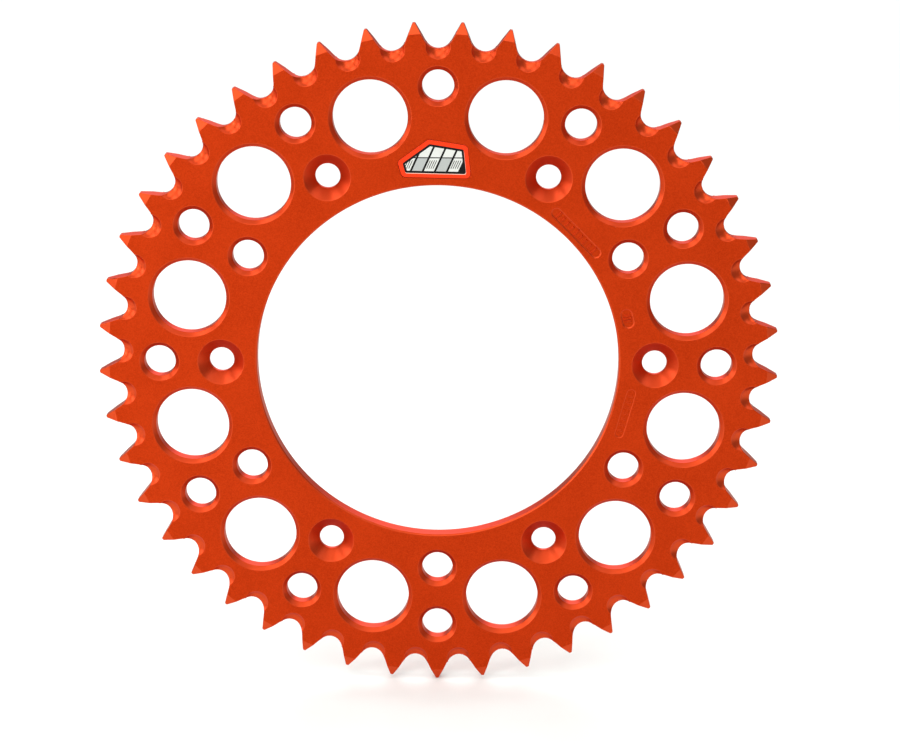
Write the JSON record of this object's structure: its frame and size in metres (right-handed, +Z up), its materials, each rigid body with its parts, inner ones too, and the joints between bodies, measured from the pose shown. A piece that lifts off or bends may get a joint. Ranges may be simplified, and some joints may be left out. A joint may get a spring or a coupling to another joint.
{
  "type": "rear sprocket",
  "caption": "Motorcycle rear chainwheel: flat aluminium plate with bevelled teeth, mud scoops, lightening holes, a large hub bore, countersunk hub bolt holes and a label in a shallow recess.",
  "frame": {"origin": "centre of the hub bore on the plate's middle plane, which is the chain line", "axes": "+Y is the wheel's axis and points from the decorated front face to the back face that bolts to the hub; +Z is up through a tooth space and the label; +X is to the right seen from the front"},
  "size_m": [0.2346, 0.006, 0.2345],
  "materials": {
    "anodised_plate": "satin orange anodised",
    "label_adhesive": "clear acrylic adhesive",
    "label_film": "printed vinyl",
    "label_laminate": "clear gloss over-laminate"
  },
  "bodies": {
    "root": {"sprocket_plate": "anodised_plate", "badge_adhesive": "label_adhesive", "badge_film": "label_film", "badge_laminate": "label_laminate"}
  },
  "joints": []
}
